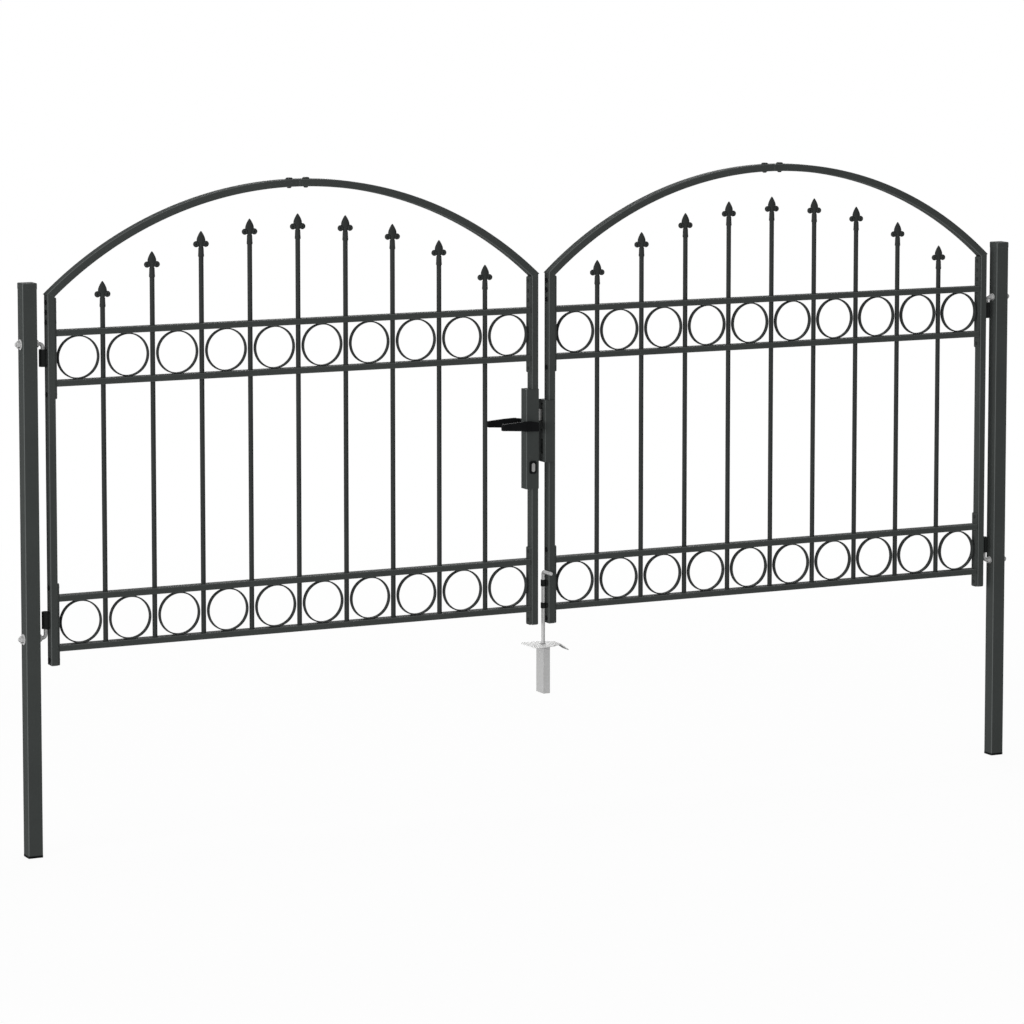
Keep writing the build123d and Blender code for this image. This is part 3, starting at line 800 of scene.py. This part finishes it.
# Lever: a grip with a straight underside and an arched back, a ribbed band, a round neck
# Each step is the length of its run, then the underside's and the back's height from the spindle
lever = {"steps": [(0.002, -0.0170, 0.0082), (0.011, -0.0163, 0.0098), (0.011, -0.0156, 0.0109),
                   (0.012, -0.0148, 0.0114), (0.012, -0.0140, 0.0112), (0.015, -0.0130, 0.0104),
                   (0.017, -0.0119, 0.0092), (0.015, -0.0109, 0.0081), (0.010, -0.0104, 0.0073),
                   (0.005, -0.0101, 0.0067)],
         "depth": 0.012, "round": 0.0034, "neckRadius": 0.0078, "neckGap": 0.0004,
         "neckInto": 0.004, "neckEdge": 0.0012, "ribs": 5, "ribStart": 0.024, "ribPitch": 0.0037,
         "ribWidth": 0.0019, "ribFoot": -0.0158, "ribTop": 0.0119, "ribProud": 0.0005,
         "ribCorner": 0.0036, "ribEdge": 0.0005}
leverLow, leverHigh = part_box("front_lever")
spindleLow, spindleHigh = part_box("lever_spindle")


def leverHandle(name):
    front, back = leverLow.y, leverLow.y + lever["depth"]
    axisX, axisZ = (spindleLow.x + spindleHigh.x) / 2, (spindleLow.z + spindleHigh.z) / 2
    run, under, over = lever["steps"][0]
    x, foot, top = leverHigh.x - run, axisZ + under, axisZ + over
    grip = block("grip", (x, front, foot), (leverHigh.x, back, top))
    editing(grip)
    pick(grip, "FACE", lambda face: face.normal.x < -handling["facing"])
    for run, under, over in lever["steps"][1:]:
        drop = axisZ + under - foot
        bpy.ops.mesh.extrude_region_move(TRANSFORM_OT_translate={"value": (-run, 0, drop)})
        x, foot, tall = x - run, foot + drop, top - foot
        bpy.ops.transform.resize(value=(1, 1, (over - under) / tall),
                                 center_override=(x, front, foot))
        top = axisZ + over
    edited()
    made = [eased(grip, lever["round"], segments=4, angle=40)]
    for count in range(lever["ribs"]):
        x = leverHigh.x - lever["ribStart"] - count * lever["ribPitch"]
        proud = lever["ribProud"]
        rib = block("rib", (x - lever["ribWidth"], front - proud, axisZ + lever["ribFoot"]),
                    (x, back + proud, axisZ + lever["ribTop"]))
        cornered(rib, alongX, lever["ribCorner"], segments=4)
        made.append(eased(rib, lever["ribEdge"], angle=60))
    neck = stock("neck", (axisX, caseLow.y - lever["neckGap"], axisZ),
                 upY * (front + lever["neckInto"] - caseLow.y), lever["neckRadius"])
    made.append(eased(neck, lever["neckEdge"], angle=60))
    return joined(name, made)


def levers():
    frontLever = leverHandle("frontLever")
    backLever = mirrored(frontLever, "backLever", 0.0, alongY)
    placed(frontLever, "lever_handle", blackFinish, ["front_lever"])
    placed(backLever, "lever_handle", blackFinish, ["back_lever"])


levers()

# Lock case in two shells that meet in a seam, latch with a slanted nose
lock = {"corner": 0.0028, "edge": 0.0007, "seam": 0.0012, "proud": 0.001, "coreInset": 0.0006,
        "coreDepth": 0.004, "coreEdge": 0.0005, "latchHalf": 0.0045, "slant": 0.010,
        "latchEdge": 0.0006}


def lockCase():
    shells = []
    for low, high in ((caseLow.y, -lock["seam"] / 2), (lock["seam"] / 2, caseHigh.y)):
        shell = block("shell", (caseLow.x, low, caseLow.z),
                      (caseHigh.x + lock["proud"], high, caseHigh.z))
        editing(shell)
        pick(shell, "EDGE", lambda edge: runsAlong(edge, alongZ)
             and abs(edge.verts[0].co.y) > lock["corner"])
        bpy.ops.mesh.bevel(offset=lock["corner"], segments=4, affect="EDGES")
        edited()
        shells.append(eased(shell, lock["edge"], angle=40))
    inset = Vector((lock["coreInset"], lock["coreDepth"], lock["coreInset"]))
    core = block("caseCore", caseLow + inset, caseHigh - inset)
    shells.append(eased(core, lock["coreEdge"], segments=1, angle=40))
    placed(joined("lockCase", shells), "left_leaf", coatFinish, ["lock_case"])
    low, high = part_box("latch_bolt")
    half = lock["latchHalf"]
    nose = block("latchBolt", (low.x, -half, low.z), (high.x, half, high.z))
    cut(nose, (high.x, 0.0, 0.0), (half, lock["slant"], 0))
    placed(eased(nose, lock["latchEdge"], angle=30), "latch", brightFinish, ["latch_bolt"])


lockCase()

# Strike: a box over the right lock stile, with a mouth for the latch, a slot below and two screws
# Mouth and slot are half a width, then a foot and a top above the strike's own foot
strike = {"half": 0.022, "corner": 0.0016, "edge": 0.0006, "mouth": (0.0052, 0.1115, 0.1495),
          "slot": (0.0060, 0.0210, 0.0630), "depth": 0.012, "overrun": 0.005, "hollowRound": 0.6,
          "screw": 0.0036, "screwHeights": (0.1600, 0.0880), "screwSunk": 0.0002,
          "screwRise": 0.0008}


def strikeBox():
    low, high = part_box("strike")
    piece = block("strikeBox", (low.x, -strike["half"], low.z), (high.x, strike["half"], high.z))
    cornered(piece, alongZ, strike["corner"])
    for half, foot, top in (strike["mouth"], strike["slot"]):
        hollow = block("hollow", (low.x - strike["overrun"], -half, low.z + foot),
                       (low.x + strike["depth"], half, low.z + top))
        cornered(hollow, alongX, half * strike["hollowRound"], segments=4)
        changed(piece, "BOOLEAN", {"operation": "DIFFERENCE", "object": hollow, "solver": "EXACT"})
        bpy.data.objects.remove(hollow)
    placed(eased(piece, strike["edge"], angle=50), "right_leaf", coatFinish, ["strike"])
    screws = [domeHead((low.x + strike["screwSunk"], 0, low.z + height),
                       -upX * strike["screwRise"], strike["screw"])
              for height in strike["screwHeights"]]
    placed(joined("strikeScrews", screws), "right_leaf", blackFinish)


strikeBox()

# Drop bolt: a zinc rod bent towards the viewer, in two guides on the right leaf
dropRod = {"radius": 0.005, "sides": 28, "bend": 0.008, "steps": 12, "rise": 0.0025,
           "reach": 0.050, "endRound": 0.0018,
           "guides": (0.0155, 0.0185), "guideBore": 0.0056, "guideRadius": 0.0070, "lugGap": 0.0006,
           "lugDepth": (-0.0125, 0.005), "lugInset": 0.002, "lugEdge": 0.0010}
rodLow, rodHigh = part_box("drop_bolt")
guideLow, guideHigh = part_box("bolt_guides")
rodX = (rodLow.x + rodHigh.x) / 2


def dropBolt():
    bpy.ops.object.select_all(action="DESELECT")
    bpy.ops.mesh.primitive_circle_add(vertices=dropRod["sides"], radius=dropRod["radius"],
                                      fill_type="NGON", location=(rodX, 0, rodLow.z))
    rod = settled("dropBolt")
    bendStart = rodHigh.z + dropRod["rise"] - dropRod["radius"] - dropRod["bend"]
    editing(rod)
    bpy.ops.mesh.extrude_region_move(TRANSFORM_OT_translate={"value": (0, 0, bendStart - rodLow.z)})
    bpy.ops.mesh.spin(steps=dropRod["steps"], angle=-math.pi / 2, axis=upX,
                      center=(rodX, -dropRod["bend"], bendStart))
    bpy.ops.mesh.extrude_region_move(TRANSFORM_OT_translate={
        "value": (0, dropRod["bend"] - dropRod["reach"], 0)})
    outward()
    edited()
    eased(rod, dropRod["endRound"], segments=3, angle=60)
    placed(rod, "drop_rod", zincFinish, ["drop_bolt"])
    made = []
    lowerLength, upperLength = dropRod["guides"]
    near, far = dropRod["lugDepth"]
    for foot, top in ((guideLow.z, guideLow.z + lowerLength),
                      (guideHigh.z - upperLength, guideHigh.z)):
        made.append(boredTube("guide", (rodX, 0, foot), top - foot, dropRod["guideRadius"],
                              dropRod["guideBore"]))
        lug = block("lug", (rodX + dropRod["guideBore"] + dropRod["lugGap"], near,
                            foot + dropRod["lugInset"]),
                    (guideHigh.x, far, top - dropRod["lugInset"]))
        made.append(eased(lug, dropRod["lugEdge"], angle=50))
    placed(joined("boltGuides", made), "right_leaf", socketFinish, ["bolt_guides"])


dropBolt()

# Ground plate: pressed sheet with a punched hole, narrowing to a tongue that is bent down
sheet = {"hole": 0.0085, "holeSides": 40, "corner": 0.004, "edge": 0.0007, "taper": 0.014,
         "tongueStart": 0.044, "tongueWidth": 0.038, "fall": 0.018, "thick": 0.003}
groundLow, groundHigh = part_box("ground_plate")


def groundPlate():
    top = groundHigh.z
    piece = block("groundPlate", (groundLow.x, groundLow.y, top - sheet["thick"]),
                  (rodX + sheet["taper"], groundHigh.y, top))
    cornered(piece, alongZ, sheet["corner"], segments=4)
    editing(piece)
    pick(piece, "FACE", lambda face: face.normal.x > handling["facing"])
    run = sheet["tongueStart"] - sheet["taper"]
    bpy.ops.mesh.extrude_region_move(TRANSFORM_OT_translate={"value": (run, 0, 0)})
    wide = groundHigh.y - groundLow.y - 2 * sheet["corner"]
    bpy.ops.transform.resize(value=(1, sheet["tongueWidth"] / wide, 1),
                             center_override=(rodX + sheet["tongueStart"], 0, top))
    bpy.ops.mesh.extrude_region_move(TRANSFORM_OT_translate={
        "value": (groundHigh.x - rodX - sheet["tongueStart"], 0, -sheet["fall"])})
    edited()
    drill = stock("drill", (rodX, 0, top - 2 * sheet["thick"]), upZ * (3 * sheet["thick"]),
                  sheet["hole"], sheet["holeSides"])
    changed(piece, "BOOLEAN", {"operation": "DIFFERENCE", "object": drill, "solver": "EXACT"})
    bpy.data.objects.remove(drill)
    placed(eased(piece, sheet["edge"], angle=40), "posts", litSheetFinish, ["ground_plate"])


groundPlate()
print("stage: bolts, lock, drop bolt and ground plate")

# CAD nodes that stay as they are get their finish
finishOfSlot = {slotOf[f]: f for f in (coatFinish, zincFinish, blackFinish, brightFinish)}
kept = {"anthracite_coat": ["left_stile_caps", "right_stile_caps"],
        "galvanised_steel": ["ground_tube"],
        "black_plastic": ["post_feet", "lock_rosettes"],
        "nickel_plate": ["lock_cylinder", "lever_spindle"]}
for slotName, nodeNames in kept.items():
    for nodeName in nodeNames:
        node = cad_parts[nodeName]
        node.data.materials.clear()
        node.data.materials.append(finishOfSlot[slotName])
print("stage: kept nodes")

# Studio: a pale floor that keeps the shadow, a white surround for the camera, soft lamps
studio = {"floorSize": 40.0, "floorSides": 96, "floorDrop": 0.0002, "seenShare": 0.94,
          "floorColour": (0.80, 0.80, 0.80, 1), "whiteRange": (2.2, 5.0), "world": 0.45,
          "aimHeight": 0.95}


def seenByEye(shade):  # 1 for camera, glossy and transmission rays
    rays = shade.node("ShaderNodeLightPath").socket.node
    eye, glossy, clear = (Shade(shade.tree, rays.outputs[name])
                          for name in ("Is Camera Ray", "Is Glossy Ray", "Is Transmission Ray"))
    return shade.maths("MAXIMUM", shade.maths("MAXIMUM", eye, glossy), clear)


def floor():
    finish, shade = newFinish("paleFloor")
    bpy.ops.object.select_all(action="DESELECT")
    bpy.ops.mesh.primitive_circle_add(vertices=studio["floorSides"], radius=studio["floorSize"],
                                      fill_type="NGON",
                                      location=(gateMiddle, 0, -studio["floorDrop"]))
    ground = settled("floor")
    place = shade.node("ShaderNodeTexCoord", out="Object")
    offset = shade.node("ShaderNodeVectorMath", {"operation": "DISTANCE"},
                        {0: place, 1: (gateMiddle, 0, 0)}, out="Value")
    plain = shade.node("ShaderNodeBsdfDiffuse", None, {"Color": studio["floorColour"]})
    white = shade.node("ShaderNodeEmission", None, {"Color": (1, 1, 1, 1), "Strength": 1.0})
    share = offset.between(*studio["whiteRange"]) * (1 - studio["seenShare"])
    seen = shade.node("ShaderNodeMixShader", None,
                      {0: share + studio["seenShare"], 1: plain, 2: white})
    skin = shade.node("ShaderNodeMixShader", None, {0: seenByEye(shade), 1: plain, 2: seen})
    shade.node("ShaderNodeOutputMaterial", None, {"Surface": skin})
    ground.data.materials.append(finish)


def surround():
    world = bpy.data.worlds.new("studioWorld")
    world.use_nodes = True
    world.node_tree.nodes.clear()
    shade = Shade(world.node_tree)
    soft = shade.node("ShaderNodeBackground", None, {"Color": (1, 1, 1, 1),
                                                     "Strength": studio["world"]})
    white = shade.node("ShaderNodeBackground", None, {"Color": (1, 1, 1, 1), "Strength": 1.0})
    skin = shade.node("ShaderNodeMixShader", None, {0: seenByEye(shade), 1: soft, 2: white})
    shade.node("ShaderNodeOutputWorld", None, {"Surface": skin})
    bpy.context.scene.world = world


# Lamps: a broad one from the left gives most of the light, the others soften its shade
lamps = [{"name": "frontLamp", "place": (2.5, -12.5, 4.5), "size": (6.0, 4.0), "power": 150},
         {"name": "sideLamp", "place": (-17.1, -9.9, 2.5), "size": (14.4, 7.2), "power": 4850},
         {"name": "topLamp", "place": (1.5, 0.6, 6.5), "size": (5.0, 4.0), "power": 130},
         {"name": "backLamp", "place": (5.5, 9.0, 4.0), "size": (4.0, 4.0), "power": 300}]


def lights():
    aim = Vector((gateMiddle, 0, studio["aimHeight"]))
    for lamp in lamps:
        bpy.ops.object.select_all(action="DESELECT")
        bpy.ops.object.light_add(type="AREA", location=lamp["place"])
        light = bpy.context.active_object
        light.name = lamp["name"]
        light.data.shape = "RECTANGLE"
        light.data.size, light.data.size_y = lamp["size"]
        light.data.energy = lamp["power"]
        light.rotation_euler = (aim - Vector(lamp["place"])).to_track_quat("-Z", "Y").to_euler()


# Camera: at the photo's angle, with a small downward shift for its framing
camera = {"place": (-3.5619, -9.9819, 2.4514), "pitch": 84.495, "yaw": -26.387, "lens": 144.664,
          "shift": -0.2, "sensor": 36.0, "clipEnd": 200.0}


def viewpoint():
    bpy.ops.object.select_all(action="DESELECT")
    turn = (math.radians(camera["pitch"]), 0, math.radians(camera["yaw"]))
    bpy.ops.object.camera_add(location=camera["place"], rotation=turn)
    eye = bpy.context.active_object
    eye.name = "photoCamera"
    eye.data.sensor_width = camera["sensor"]
    eye.data.lens = camera["lens"]
    eye.data.shift_y = camera["shift"]
    eye.data.clip_end = camera["clipEnd"]
    bpy.context.scene.camera = eye


floor()
surround()
lights()
viewpoint()
bpy.context.scene.view_settings.view_transform = "Standard"
print("stage: studio")
